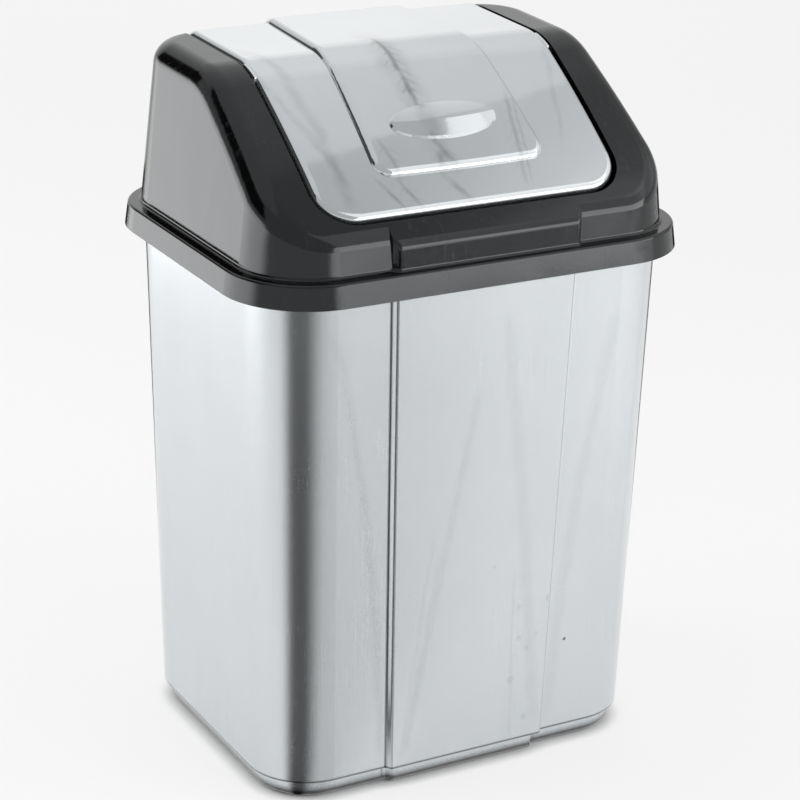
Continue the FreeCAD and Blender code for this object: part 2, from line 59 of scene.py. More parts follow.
class NodeSheet:
    """A node tree that is written from left to right."""

    # A Mix node has its sockets once for each kind of data, under the same names. These are the colour's.
    COLOUR_MIX_INPUTS = (0, 6, 7)
    COLOUR_MIX_OUTPUT = 2

    def __init__(self, tree: bpy.types.NodeTree) -> None:
        """Start on a tree.

        Args:
            tree: The tree that gets the nodes.
        """
        self.tree = tree

    def add(self, kind: str, **settings: object) -> bpy.types.Node:
        """Add a node.

        Args:
            kind: The node's type name.
            settings: Attributes that are set on the node.

        Returns:
            The new node.
        """
        node = self.tree.nodes.new(kind)
        for key, value in settings.items():
            setattr(node, key, value)
        return node

    def feed(self, socket: Socket, value: object) -> None:
        """Set an input, or link it where the value is an output of another node.

        Args:
            socket: The input.
            value: A constant, or an output socket.
        """
        if isinstance(value, bpy.types.NodeSocket):
            self.tree.links.new(value, socket)
        else:
            socket.default_value = value

    def use(self, group: bpy.types.NodeTree, **values: object) -> bpy.types.Node:
        """Add a shared effect.

        Args:
            group: The effect's node group.
            values: Its inputs by name.

        Returns:
            The group's node.
        """
        node = self.add("ShaderNodeGroup", node_tree=group)
        for name, value in values.items():
            self.feed(node.inputs[name], value)
        return node

    def sum(self, operation: str, *values: Value, clamp: bool = False) -> Socket:
        """Work out one number.

        Args:
            operation: The operation of a Math node.
            values: Its numbers, as constants or sockets.
            clamp: Keep the result between 0 and 1.

        Returns:
            The result's socket.
        """
        node = self.add("ShaderNodeMath", operation=operation, use_clamp=clamp)
        for socket, value in zip(node.inputs, values):
            self.feed(socket, value)
        return node.outputs["Value"]

    def ease(self, value: Value, low: Value, high: Value, start: float = 0.0, end: float = 1.0) -> Socket:
        """Turn a stretch of values into a soft step.

        Args:
            value: The number that varies.
            low: Where the step starts.
            high: Where the step ends.
            start: The result before the step.
            end: The result after the step.

        Returns:
            The result's socket.
        """
        node = self.add("ShaderNodeMapRange", interpolation_type="SMOOTHSTEP")
        names = ("Value", "From Min", "From Max", "To Min", "To Max")
        for name, item in zip(names, (value, low, high, start, end)):
            self.feed(node.inputs[name], item)
        return node.outputs["Result"]

    def mix(self, share: Value, first: object, second: object) -> Socket:
        """Mix two colours.

        Args:
            share: The second colour's share.
            first: A colour or a colour socket.
            second: A colour or a colour socket.

        Returns:
            The mixed colour's socket.
        """
        node = self.add("ShaderNodeMix", data_type="RGBA")
        for index, item in zip(self.COLOUR_MIX_INPUTS, (share, first, second)):
            self.feed(node.inputs[index], item)
        return node.outputs[self.COLOUR_MIX_OUTPUT]

    def noise(self, place: Socket, scale: float, detail: float = 2.0, warp: float = 0.0) -> Socket:
        """Add a noise that varies about one half.

        Args:
            place: Where it is looked up.
            scale: Waves to the metre.
            detail: Finer layers.
            warp: How far it is distorted.

        Returns:
            The noise's value.
        """
        node = self.add("ShaderNodeTexNoise")
        for name, item in (("Vector", place), ("Scale", scale), ("Detail", detail), ("Distortion", warp)):
            self.feed(node.inputs[name], item)
        return node.outputs["Fac"]

    def stretch(self, place: Socket, scale: Triple) -> Socket:
        """Scale a place along its axes.

        Args:
            place: The place.
            scale: The factor along each axis.

        Returns:
            The scaled place.
        """
        node = self.add("ShaderNodeMapping")
        self.feed(node.inputs["Vector"], place)
        self.feed(node.inputs["Scale"], scale)
        return node.outputs["Vector"]

    def place(self) -> Socket:
        """The object's own coordinates."""
        return self.add("ShaderNodeTexCoord").outputs["Object"]

    def axes(self, place: Socket) -> dict[str, Socket]:
        """Split a place into its axes.

        Args:
            place: The place.

        Returns:
            The numbers along X, Y and Z by the axis's name.
        """
        node = self.add("ShaderNodeSeparateXYZ")
        self.feed(node.inputs["Vector"], place)
        return {axis: node.outputs[axis] for axis in ("X", "Y", "Z")}

    def bump(self, height: Socket, depth: float) -> Socket:
        """Turn a height into a normal.

        Args:
            height: The height, in shares of the depth.
            depth: The height of a full share in metres.

        Returns:
            The normal's socket.
        """
        node = self.add("ShaderNodeBump")
        for name, item in (("Strength", BUMP_STRENGTH), ("Distance", depth), ("Height", height)):
            self.feed(node.inputs[name], item)
        return node.outputs["Normal"]

    def surface(self, share: Socket, first: Socket, second: Socket) -> None:
        """Mix two shaders into the material's surface.

        Args:
            share: The second shader's share.
            first: A shader's output.
            second: A shader's output.
        """
        joined = self.add("ShaderNodeMixShader")
        for socket, item in zip(joined.inputs, (share, first, second)):
            self.feed(socket, item)
        self.feed(self.tree.nodes["Material Output"].inputs["Surface"], joined.outputs["Shader"])


def new_material(name: str) -> tuple[bpy.types.Material, NodeSheet]:
    """Make a material with a Principled shader.

    Args:
        name: The material's name.

    Returns:
        The material and the sheet of its tree.
    """
    made = bpy.data.materials.new(name)
    made.use_nodes = True
    return made, NodeSheet(made.node_tree)


def new_plane(name: str, size: float, place: Triple = (0.0, 0.0, 0.0)) -> bpy.types.Object:
    """Add a level square.

    Args:
        name: The object's name.
        size: Its side in metres.
        place: Its middle.

    Returns:
        The new object.
    """
    bpy.ops.object.select_all(action="DESELECT")
    bpy.ops.mesh.primitive_plane_add(size=size, location=place)
    plane = bpy.context.object
    plane.name = name
    return plane


def only_mirrored(stand_in: bpy.types.Object) -> None:
    """Keep a studio card out of the picture and out of the light, so that only reflections show it.

    Args:
        stand_in: The card's object.
    """
    stand_in.visible_camera = False
    stand_in.visible_diffuse = False
    stand_in.visible_shadow = False


class Effect:
    """A shader effect that the finishes share, kept as a node group.

    Attributes:
        name: The group's name.
        inputs: Its inputs' names and kinds.
        outputs: Its outputs' names and kinds.
    """

    name: str
    inputs: dict[str, str]
    outputs: dict[str, str] = {"Mask": "NodeSocketFloat"}

    def group(self) -> bpy.types.NodeTree:
        """The node group, made at its first use.

        Returns:
            The group's tree.
        """
        known = bpy.data.node_groups.get(self.name)
        if known:
            return known
        tree = bpy.data.node_groups.new(self.name, "ShaderNodeTree")
        for way, sockets in (("INPUT", self.inputs), ("OUTPUT", self.outputs)):
            for name, kind in sockets.items():
                tree.interface.new_socket(name, in_out=way, socket_type=kind)
        sheet = NodeSheet(tree)
        source = sheet.add("NodeGroupInput")
        results = self.draw(sheet, {name: source.outputs[name] for name in self.inputs})
        target = sheet.add("NodeGroupOutput")
        for name, socket in results.items():
            sheet.feed(target.inputs[name], socket)
        return tree

    def draw(self, sheet: NodeSheet, given: dict[str, Socket]) -> dict[str, Socket]:
        """Write the effect's nodes.

        Args:
            sheet: The group's sheet.
            given: The group's inputs by name.

        Returns:
            The sockets that become the group's outputs.
        """
        raise NotImplementedError


@dataclass(frozen=True)
class FlowAndShadeLine(Effect):
    """A dark line: where two streams of molten plastic met, and also painted shade drawn along an edge.

    Attributes:
        stray_scale: Waves to the metre of its wandering.
        stray_detail: Finer layers of its wandering.
        stray_reach: How far it wanders, in half widths.
        barb_sweep: How far the barbs sweep along the line for each metre away from it.
        barb_stray: How far the barbs' places wander, in metres.
        barb_step: Half the way from barb to barb.
        barb_width: How far from a barb's middle it has gone, and how far it is still full.
        barb_scale: Waves to the metre of the barbs' lengths.
        barb_reach: The length of the longest barbs.
        fade: The length over which the line's ends fade.
        gap_scale: Waves to the metre of the faint stretches.
        gap_span: The noise at which a faint stretch starts, and at which it is faintest.
        gap_depth: How much of the line a faint stretch takes away.
    """

    stray_scale: float = 55.0
    stray_detail: float = 3.0
    stray_reach: float = 1.6
    barb_sweep: float = 0.9
    barb_stray: float = 0.006
    barb_step: float = 0.0032
    barb_width: Pair = (0.0011, 0.0002)
    barb_scale: float = 160.0
    barb_reach: float = 0.015
    fade: float = 0.012
    gap_scale: float = 90.0
    gap_span: Pair = (0.62, 0.3)
    gap_depth: float = 0.55

    name = "flow_and_shade_line"
    inputs = {
        "Place": "NodeSocketVector",
        "Across": "NodeSocketFloat",
        "Along": "NodeSocketFloat",
        "Base": "NodeSocketFloat",
        "Lean": "NodeSocketFloat",
        "Bend": "NodeSocketFloat",
        "Low": "NodeSocketFloat",
        "High": "NodeSocketFloat",
        "Width": "NodeSocketFloat",
        "Barbs": "NodeSocketFloat",
        "Wander": "NodeSocketFloat",
    }

    def draw(self, sheet: NodeSheet, given: dict[str, Socket]) -> dict[str, Socket]:
        """Measure the way to the curve, and set barbs along it.

        Args:
            sheet: The group's sheet.
            given: The group's inputs by name.

        Returns:
            The line's mask.
        """
        place = given["Place"]
        along = given["Along"]
        lean = sheet.sum("MULTIPLY_ADD", given["Bend"], along, given["Lean"])
        middle = sheet.sum("MULTIPLY_ADD", lean, along, given["Base"])
        stray = sheet.sum("SUBTRACT", sheet.noise(place, self.stray_scale, self.stray_detail), NOISE_MIDDLE)
        stray = sheet.sum("MULTIPLY", stray, given["Wander"])
        stray_reach = sheet.sum("MULTIPLY", given["Width"], self.stray_reach)
        middle = sheet.sum("MULTIPLY_ADD", stray, stray_reach, middle)
        away = sheet.sum("ABSOLUTE", sheet.sum("SUBTRACT", given["Across"], middle))
        core = sheet.ease(away, given["Width"], 0.0)
        drawn = sheet.sum("MAXIMUM", core, self.barbs(sheet, given, away, stray))
        rise = sheet.ease(along, given["Low"], sheet.sum("ADD", given["Low"], self.fade))
        fall = sheet.ease(along, given["High"], sheet.sum("SUBTRACT", given["High"], self.fade))
        cut = sheet.sum("MULTIPLY", rise, fall)
        gaps = sheet.ease(sheet.noise(place, self.gap_scale), *self.gap_span, 0.0, self.gap_depth)
        patchy = sheet.sum("SUBTRACT", 1.0, sheet.sum("MULTIPLY", gaps, given["Wander"]))
        return {"Mask": sheet.sum("MULTIPLY", sheet.sum("MULTIPLY", drawn, cut), patchy)}

    def barbs(self, sheet: NodeSheet, given: dict[str, Socket], away: Socket, stray: Socket) -> Socket:
        """Set barbs at both sides, as on a feather.

        Args:
            sheet: The group's sheet.
            given: The group's inputs by name.
            away: The way to the line's middle.
            stray: The line's wandering.

        Returns:
            The barbs' mask.
        """
        swept = sheet.sum("MULTIPLY_ADD", away, self.barb_sweep, given["Along"])
        strayed = sheet.sum("MULTIPLY_ADD", stray, self.barb_stray, swept)
        teeth = sheet.ease(sheet.sum("PINGPONG", strayed, self.barb_step), *self.barb_width)
        reach = sheet.sum("MULTIPLY", sheet.noise(given["Place"], self.barb_scale), self.barb_reach)
        near = sheet.ease(away, reach, 0.0)
        return sheet.sum("MULTIPLY", sheet.sum("MULTIPLY", teeth, near), given["Barbs"])


@dataclass(frozen=True)
class Spot(Effect):
    """A small round blemish with a ragged edge.

    Attributes:
        ragged_scale: Waves to the metre of the edge.
        ragged_span: The stretch of noise that shapes the edge.
        ragged_reach: The least and the most that the edge is pushed, in radii.
        core: The share of the radius that is full.
    """

    ragged_scale: float = 600.0
    ragged_span: Pair = (0.3, 0.7)
    ragged_reach: Pair = (0.7, 1.3)
    core: float = 0.55

    name = "spot"
    inputs = {
        "Place": "NodeSocketVector",
        "Across": "NodeSocketFloat",
        "Along": "NodeSocketFloat",
        "Base": "NodeSocketFloat",
        "Height": "NodeSocketFloat",
        "Size": "NodeSocketFloat",
    }

    def draw(self, sheet: NodeSheet, given: dict[str, Socket]) -> dict[str, Socket]:
        """Measure the way to the spot's middle.

        Args:
            sheet: The group's sheet.
            given: The group's inputs by name.

        Returns:
            The spot's mask.
        """
        aside = sheet.sum("SUBTRACT", given["Across"], given["Base"])
        above = sheet.sum("SUBTRACT", given["Along"], given["Height"])
        squares = sheet.sum("MULTIPLY_ADD", aside, aside, sheet.sum("MULTIPLY", above, above))
        grain = sheet.noise(given["Place"], self.ragged_scale)
        ragged = sheet.ease(grain, *self.ragged_span, *self.ragged_reach)
        away = sheet.sum("MULTIPLY", sheet.sum("SQRT", squares), ragged)
        return {"Mask": sheet.ease(away, given["Size"], sheet.sum("MULTIPLY", given["Size"], self.core))}


@dataclass(frozen=True)
class PearlFlake(Effect):
    """Pearl pigment: cloudy where it flowed, drawn out along the flow, and grainy close up.

    Attributes:
        cloud_scale: Waves to the metre of the clouds.
        cloud_detail: Finer layers of the clouds.
        cloud_warp: How far the clouds are distorted.
        streak_scale: Waves to the metre of the streaks along each axis.
        streak_warp: How far the streaks are distorted.
        streak_share: The streaks' share in the clouds.
        cloud_span: The stretch of noise that goes from thin to full pigment.
        grain_scale: Waves to the metre of the flake.
    """

    cloud_scale: float = 11.0
    cloud_detail: float = 3.0
    cloud_warp: float = 0.6
    streak_scale: Triple = (30.0, 30.0, 2.5)
    streak_warp: float = 0.3
    streak_share: float = 0.5
    cloud_span: Pair = (0.32, 0.68)
    grain_scale: float = 2600.0

    name = "pearl_flake"
    inputs = {"Place": "NodeSocketVector"}
    outputs = {"Cloud": "NodeSocketFloat", "Grain": "NodeSocketFloat"}

    def draw(self, sheet: NodeSheet, given: dict[str, Socket]) -> dict[str, Socket]:
        """Layer slow clouds, drawn streaks and flake.

        Args:
            sheet: The group's sheet.
            given: The group's inputs by name.

        Returns:
            The cloud's and the grain's values, from 0 to 1.
        """
        place = given["Place"]
        slow = sheet.noise(place, self.cloud_scale, self.cloud_detail, self.cloud_warp)
        streak = sheet.noise(sheet.stretch(place, self.streak_scale), 1.0, warp=self.streak_warp)
        slow = sheet.sum("MULTIPLY", slow, 1.0 - self.streak_share)
        cloud = sheet.sum("MULTIPLY_ADD", streak, self.streak_share, slow)
        grain = sheet.noise(place, self.grain_scale, 1.0)
        return {"Cloud": sheet.ease(cloud, *self.cloud_span), "Grain": grain}


@dataclass(frozen=True)
class MouldSkin(Effect):
    """The skin of a moulding off a polished mould: slow waves, orange peel and rubbed haze.

    Attributes:
        wave_scale: Waves to the metre of the skin's slow waves.
        wave_warp: How far the slow waves are distorted.
        peel_scale: Waves to the metre of the orange peel.
        peel_share: The orange peel's height against the slow waves.
        rub_scale: Waves to the metre of the rubbed lines along each axis.
        rub_warp: How far the rubbed lines are distorted.
        rub_span: The stretch of noise that goes from clear to rubbed.
        patch_scale: Waves to the metre of the patches that are rubbed.
        patch_detail: Finer layers of the patches.
        patch_warp: How far the patches are distorted.
        patch_span: The stretch of noise that goes from no patch to a full one.
    """

    wave_scale: float = 26.0
    wave_warp: float = 0.4
    peel_scale: float = 420.0
    peel_share: float = 0.08
    rub_scale: Triple = (700.0, 240.0, 30.0)
    rub_warp: float = 0.8
    rub_span: Pair = (0.55, 0.72)
    patch_scale: float = 18.0
    patch_detail: float = 3.0
    patch_warp: float = 0.5
    patch_span: Pair = (0.42, 0.66)

    name = "mould_skin"
    inputs = {"Place": "NodeSocketVector"}
    outputs = {"Height": "NodeSocketFloat", "Haze": "NodeSocketFloat"}

    def draw(self, sheet: NodeSheet, given: dict[str, Socket]) -> dict[str, Socket]:
        """Layer the waves, and draw fine rubbed lines over them.

        Args:
            sheet: The group's sheet.
            given: The group's inputs by name.

        Returns:
            The skin's height and where it is rubbed dull.
        """
        place = given["Place"]
        waves = sheet.noise(place, self.wave_scale, 1.0, self.wave_warp)
        peel = sheet.noise(place, self.peel_scale, 1.0)
        height = sheet.sum("MULTIPLY_ADD", peel, self.peel_share, waves)
        rubbed = sheet.noise(sheet.stretch(place, self.rub_scale), 1.0, warp=self.rub_warp)
        patch = sheet.noise(place, self.patch_scale, self.patch_detail, self.patch_warp)
        lines = sheet.ease(rubbed, *self.rub_span)
        return {"Height": height, "Haze": sheet.sum("MULTIPLY", lines, sheet.ease(patch, *self.patch_span))}


@dataclass(frozen=True)
class Line:
    """A dark line's course on a moulding, in metres.

    Attributes:
        base: Where it crosses the zero of the axis that it follows.
        lean: How far it moves across for each metre along.
        bend: How much the lean grows for each metre along.
        low: Where it starts.
        high: Where it ends.
        width: Half its width.
        depth: How dark its middle is: 1 is full, and more spreads the full tone to its sides.
        barbs: How dark the barbs at its sides are.
        wander: How far it strays from its course and how patchy it is, from 0 to 1.
    """

    base: float
    lean: float
    bend: float
    low: float
    high: float
    width: float
    depth: float
    barbs: float = 0.0
    wander: float = 1.0


@dataclass(frozen=True)
class Blemish:
    """A spot on a moulding, in metres.

    Attributes:
        base: Its place across.
        height: Its place along.
        size: Its radius.
        depth: How dark it is, from 0 to 1.
    """

    base: float
    height: float
    size: float
    depth: float


@dataclass(frozen=True)
class Markings:
    """The lines, blemishes and painted shade of one moulding.

    Attributes:
        lines: The lines on its marked face: flow lines, and where a line follows an edge, painted shade.
        shade_rings: Level lines of painted shade that go all round it.
        spots: The blemishes on its marked face.
        side: How the lines and blemishes lie on that face.
        face: The axis that the face looks along, and the place on it that the marks stay below.
        fade: The length over which the marks fade out at that place.
    """

    lines: tuple[Line, ...] = ()
    shade_rings: tuple[Line, ...] = ()
    spots: tuple[Blemish, ...] = ()
    side: Side = Side.UPRIGHT
    face: tuple[str, float] = ("Y", 1.0)
    fade: float = 0.004

    def trace(self, sheet: NodeSheet, place: Socket, lines: tuple[Line, ...], side: Side) -> Value:
        """Add up lines.

        Args:
            sheet: The material's sheet.
            place: The object coordinates.
            lines: The lines.
            side: How they lie.

        Returns:
            How dark each point is.
        """
        axes = sheet.axes(place)
        across, along = (axes[axis] for axis in side.value)
        drawn: Value = 0.0
        for line in lines:
            mark = sheet.use(
                FlowAndShadeLine().group(), Place=place, Across=across, Along=along, Base=line.base, Lean=line.lean,
                Bend=line.bend, Low=line.low, High=line.high, Width=line.width, Barbs=line.barbs,
                Wander=line.wander,
            )
            drawn = sheet.sum("MULTIPLY_ADD", mark.outputs["Mask"], line.depth, drawn)
        return drawn

    def draw(self, sheet: NodeSheet, place: Socket) -> Socket:
        """Join all the marks and the painted shade into one mask.

        Args:
            sheet: The material's sheet.
            place: The object coordinates.

        Returns:
            How dark each point is, from 0 to 1.
        """
        axes = sheet.axes(place)
        across, along = (axes[axis] for axis in self.side.value)
        drawn = self.trace(sheet, place, self.lines, self.side)
        for spot in self.spots:
            mark = sheet.use(
                Spot().group(), Place=place, Across=across, Along=along, Base=spot.base, Height=spot.height,
                Size=spot.size,
            )
            drawn = sheet.sum("MULTIPLY_ADD", mark.outputs["Mask"], spot.depth, drawn)
        axis, limit = self.face
        near = sheet.ease(axes[axis], limit, limit - self.fade)
        # Level lines of painted shade, such as at a foot's bottom edge and step.
        shade_rings = self.trace(sheet, place, self.shade_rings, Side.LEVEL)
        return sheet.sum("MULTIPLY_ADD", drawn, near, shade_rings, clamp=True)


@dataclass(frozen=True)
class PearlSilver:
    """Silver pearl plastic under a clear gloss skin.

    Attributes:
        colour: The pigment's colour.
        thin_colour: The pigment where it is drawn thin.
        mark_and_shade_colour: The colour of a dark flow line or blemish, and of painted shade where a line
            stands for shade.
        metallic: How much of the pigment is flake.
        roughness: How far the flake spreads light.
        grain_span: The stretch of grain that changes the roughness.
        grain_gain: What the grain adds to the roughness at either end of that stretch.
        haze_gain: What rubbed haze adds to the roughness.
        mark_gain: What a dark line adds to the roughness.
        coat_ior: How strongly the skin reflects.
        coat_roughness: How soft the skin's reflections are.
        wave_depth: Height of the skin's waves in metres.
    """

    colour: Triple = (0.74, 0.772, 0.792)
    thin_colour: Triple = (0.71, 0.742, 0.763)
    mark_and_shade_colour: Triple = (0.08, 0.083, 0.087)
    metallic: float = 0.9
    roughness: float = 0.24
    grain_span: Pair = (0.3, 0.7)
    grain_gain: Pair = (-0.02, 0.03)
    haze_gain: float = 0.015
    mark_gain: float = 0.1
    coat_ior: float = 1.5
    coat_roughness: float = 0.04
    wave_depth: float = 0.0002

    def material(self, name: str, markings: Markings) -> bpy.types.Material:
        """Make the material.

        Args:
            name: The material's name.
            markings: The moulding's lines, blemishes and painted shade.

        Returns:
            The new material.
        """
        made, sheet = new_material(name)
        shader = made.node_tree.nodes["Principled BSDF"]
        place = sheet.place()
        flake = sheet.use(PearlFlake().group(), Place=place)
        skin = sheet.use(MouldSkin().group(), Place=place)
        marks_and_shade = markings.draw(sheet, place)
        body = sheet.mix(flake.outputs["Cloud"], opaque(self.thin_colour), opaque(self.colour))
        smooth, rough = (self.roughness + gain for gain in self.grain_gain)
        grain = sheet.ease(flake.outputs["Grain"], *self.grain_span, smooth, rough)
        dull = sheet.sum("MULTIPLY_ADD", skin.outputs["Haze"], self.haze_gain, grain)
        fed = {
            # Dark marks: real flow lines and blemishes, and painted shade along edges and the foot.
            "Base Color": sheet.mix(marks_and_shade, body, opaque(self.mark_and_shade_colour)),
            "Roughness": sheet.sum("MULTIPLY_ADD", marks_and_shade, self.mark_gain, dull),
            "Normal": sheet.bump(skin.outputs["Height"], self.wave_depth),
            "Metallic": self.metallic,
            "Coat Weight": 1.0,
            "Coat IOR": self.coat_ior,
            "Coat Roughness": self.coat_roughness,
        }
        for socket, value in fed.items():
            sheet.feed(shader.inputs[socket], value)
        return made


@dataclass(frozen=True)
class GlossBlack:
    """Black plastic off a polished mould.

    Attributes:
        colour: The pigment's colour.
        dust_colour: The pigment under a breath of dust.
        roughness: How soft its reflections are.
        mark_share: How much of a blemish counts as dust.
        dust_gain: What dust adds to the roughness.
        ior: How strongly it reflects.
        gleam: The tint of its reflections.
        wave_depth: Height of the skin's waves in metres.
    """

    colour: Triple = (0.003, 0.003, 0.0035)
    dust_colour: Triple = (0.014, 0.015, 0.016)
    roughness: float = 0.11
    mark_share: float = 0.7
    dust_gain: float = 0.12
    ior: float = 1.6
    gleam: Triple = (0.94, 0.98, 1.0)
    wave_depth: float = 0.0003

    def material(self, name: str, markings: Markings) -> bpy.types.Material:
        """Make the material.

        Args:
            name: The material's name.
            markings: The moulding's lines and blemishes.

        Returns:
            The new material.
        """
        made, sheet = new_material(name)
        shader = made.node_tree.nodes["Principled BSDF"]
        place = sheet.place()
        skin = sheet.use(MouldSkin().group(), Place=place)
        marks_and_shade = markings.draw(sheet, place)
        dusty = sheet.sum("MULTIPLY_ADD", marks_and_shade, self.mark_share, skin.outputs["Haze"], clamp=True)
        fed = {
            "Base Color": sheet.mix(dusty, opaque(self.colour), opaque(self.dust_colour)),
            "Roughness": sheet.sum("MULTIPLY_ADD", dusty, self.dust_gain, self.roughness),
            "Normal": sheet.bump(skin.outputs["Height"], self.wave_depth),
            "IOR": self.ior,
            "Specular Tint": opaque(self.gleam),
        }
        for socket, value in fed.items():
            sheet.feed(shader.inputs[socket], value)
        return made


Finish = PearlSilver | GlossBlack


@dataclass
class Moulding:
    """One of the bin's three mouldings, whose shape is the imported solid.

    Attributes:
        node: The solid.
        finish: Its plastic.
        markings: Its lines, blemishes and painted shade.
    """

    node: Node
    finish: Finish
    markings: Markings

    def dress(self) -> None:
        """Put the finish on the solid."""
        material = self.finish.material(f"{self.node.value}_finish", self.markings)
        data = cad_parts[self.node.value].data
        data.materials.clear()
        data.materials.append(material)
        log.info("dressed %s", self.node.value)


@dataclass
class Bucket(Moulding):
    """The silver bucket: flow lines fan up its front, and painted shade darkens its panel's edges, its foot's
    step and its bottom edge.
    """

    node: Node = Node.BUCKET
    finish: Finish = PearlSilver()
    markings: Markings = Markings(
        lines=(
            Line(
                -0.0549, lean=-0.0191, bend=-0.375, low=0.016, high=0.285,
                width=0.0045, depth=0.11, wander=0.5,
            ),
            Line(-0.0452, lean=0.1714, bend=0.048, low=0.016, high=0.24, width=0.0045, depth=0.1, wander=0.5),
            Line(-0.0462, lean=0.11, bend=0.08, low=0.016, high=0.16, width=0.002, depth=0.06),
            Line(
                0.0457, lean=-0.0835, bend=-0.115, low=0.016, high=0.285,
                width=0.006, depth=0.08, wander=0.4,
            ),
            Line(0.0281, lean=-0.0155, bend=0.0, low=0.01, high=0.125, width=0.0016, depth=0.08),
            Line(0.0553, lean=0.02, bend=0.373, low=0.016, high=0.275, width=0.006, depth=0.07, wander=0.4),
            Line(0.101, lean=0.02, bend=0.0, low=0.05, high=0.3, width=0.003, depth=0.05),
            # Painted shade: dark lines along the left and right edges of the raised panel.
            Line(-0.0517, lean=-0.0193, bend=0.0, low=0.0, high=0.32, width=0.0011, depth=0.8, wander=0.1),
            Line(-0.0489, lean=-0.0193, bend=0.0, low=0.0, high=0.32, width=0.0007, depth=0.5, wander=0.1),
            Line(0.0497, lean=0.0193, bend=0.0, low=0.0, high=0.32, width=0.0009, depth=0.6, wander=0.2),
        ),
        # Painted shade: a dark band of contact shadow at the foot's bottom edge, and a dark line over its
        # step.
        shade_rings=(
            Line(0.0, lean=0.0, bend=0.0, low=-0.2, high=0.2, width=0.0085, depth=1.6, wander=0.0),
            Line(0.012, lean=0.0, bend=0.0, low=-0.2, high=0.2, width=0.0013, depth=0.9, wander=0.0),
        ),
        spots=(
            Blemish(0.0651, height=0.0688, size=0.0013, depth=0.9),
            Blemish(0.0497, height=0.1, size=0.0024, depth=0.14),
            Blemish(0.0309, height=0.0982, size=0.002, depth=0.1),
            Blemish(0.0315, height=0.0779, size=0.0022, depth=0.1),
            Blemish(0.043, height=0.0786, size=0.0018, depth=0.1),
            Blemish(0.0372, height=0.0703, size=0.0022, depth=0.1),
            Blemish(0.0269, height=0.0521, size=0.003, depth=0.12),
            Blemish(0.0372, height=0.0253, size=0.0024, depth=0.12),
            Blemish(0.0129, height=0.1268, size=0.0016, depth=0.1),
        ),
        face=("Y", -0.08),
    )


@dataclass
class Hood(Moulding):
    """The black hood, polished, with a nick at its front band."""

    node: Node = Node.HOOD
    finish: Finish = GlossBlack()
    markings: Markings = Markings(
        spots=(Blemish(-0.046, height=0.335, size=0.0012, depth=1.0),),
        face=("Y", -0.08),
    )


@dataclass
class Flap(Moulding):
    """The silver flap: feathered streaks run down its crown and its slope."""

    node: Node = Node.FLAP
    finish: Finish = PearlSilver(
        colour=(0.815, 0.85, 0.872),
        thin_colour=(0.78, 0.815, 0.838),
        roughness=0.06,
        coat_ior=1.6,
        coat_roughness=0.03,
    )
    markings: Markings = Markings(
        lines=(
            Line(-0.0105, lean=0.0, bend=0.0, low=-0.046, high=0.022, width=0.0026, depth=0.44, barbs=0.7),
            Line(-0.0105, lean=0.0, bend=0.0, low=-0.078, high=0.03, width=0.012, depth=0.2),
            Line(-0.0045, lean=0.12, bend=0.0, low=-0.078, high=-0.06, width=0.003, depth=0.3, barbs=0.4),
            Line(0.0559, lean=0.282, bend=0.0, low=-0.088, high=-0.03, width=0.0024, depth=0.26, barbs=0.5),
            Line(0.0598, lean=0.282, bend=0.0, low=-0.088, high=-0.034, width=0.0014, depth=0.16),
            Line(0.0905, lean=0.36, bend=0.0, low=-0.07, high=0.0, width=0.003, depth=0.12),
            Line(-0.0533, lean=-0.1745, bend=0.0, low=-0.078, high=-0.05, width=0.0024, depth=0.4, barbs=0.6),
            Line(-0.0401, lean=-0.49, bend=0.0, low=-0.076, high=-0.05, width=0.0034, depth=0.32, barbs=0.6),
            Line(-0.0933, lean=-0.55, bend=0.0, low=-0.092, high=-0.068, width=0.0024, depth=0.4),
            Line(-0.0829, lean=-0.5536, bend=0.0, low=-0.092, high=-0.07, width=0.0024, depth=0.4, barbs=0.6),
            Line(-0.058, lean=-0.608, bend=0.0, low=-0.092, high=-0.07, width=0.004, depth=0.36, barbs=0.6),
            Line(-0.0782, lean=-0.1877, bend=-1.838, low=-0.09, high=0.04, width=0.006, depth=0.16),
            Line(-0.094, lean=-0.32, bend=0.0, low=-0.08, high=0.0, width=0.004, depth=0.14),
        ),
        side=Side.SLOPE,
    )


@dataclass(frozen=True)
class Softbox:
    """A studio lamp behind a plain diffuser.

    Attributes:
        name: What the lamp is called.
        place: Its middle, in metres.
        aim: The point that it faces.
        width: The diffuser's width.
        height: The diffuser's height.
        radiance: How bright the diffuser is, where 1 is white.
        turn: Degrees that it is turned about the way that it faces.
        mirrored: Whether glossy surfaces show it.
    """

    name: str
    place: Triple
    aim: Triple
    width: float
    height: float
    radiance: float
    turn: float = 0.0
    mirrored: bool = True

    def hang(self) -> None:
        """Make the lamp and turn it to its aim."""
        data = bpy.data.lights.new(self.name, "AREA")
        data.shape = "RECTANGLE"
        data.size = self.width
        data.size_y = self.height
        data.energy = self.radiance * math.pi * self.width * self.height
        lamp = bpy.data.objects.new(self.name, data)
        lamp.location = self.place
        way = Vector(self.aim) - Vector(self.place)
        facing = way.to_track_quat("-Z", "Y").to_matrix()
        lamp.rotation_euler = (facing @ Matrix.Rotation(math.radians(self.turn), 3, "Z")).to_euler()
        lamp.visible_glossy = self.mirrored
        bpy.context.scene.collection.objects.link(lamp)


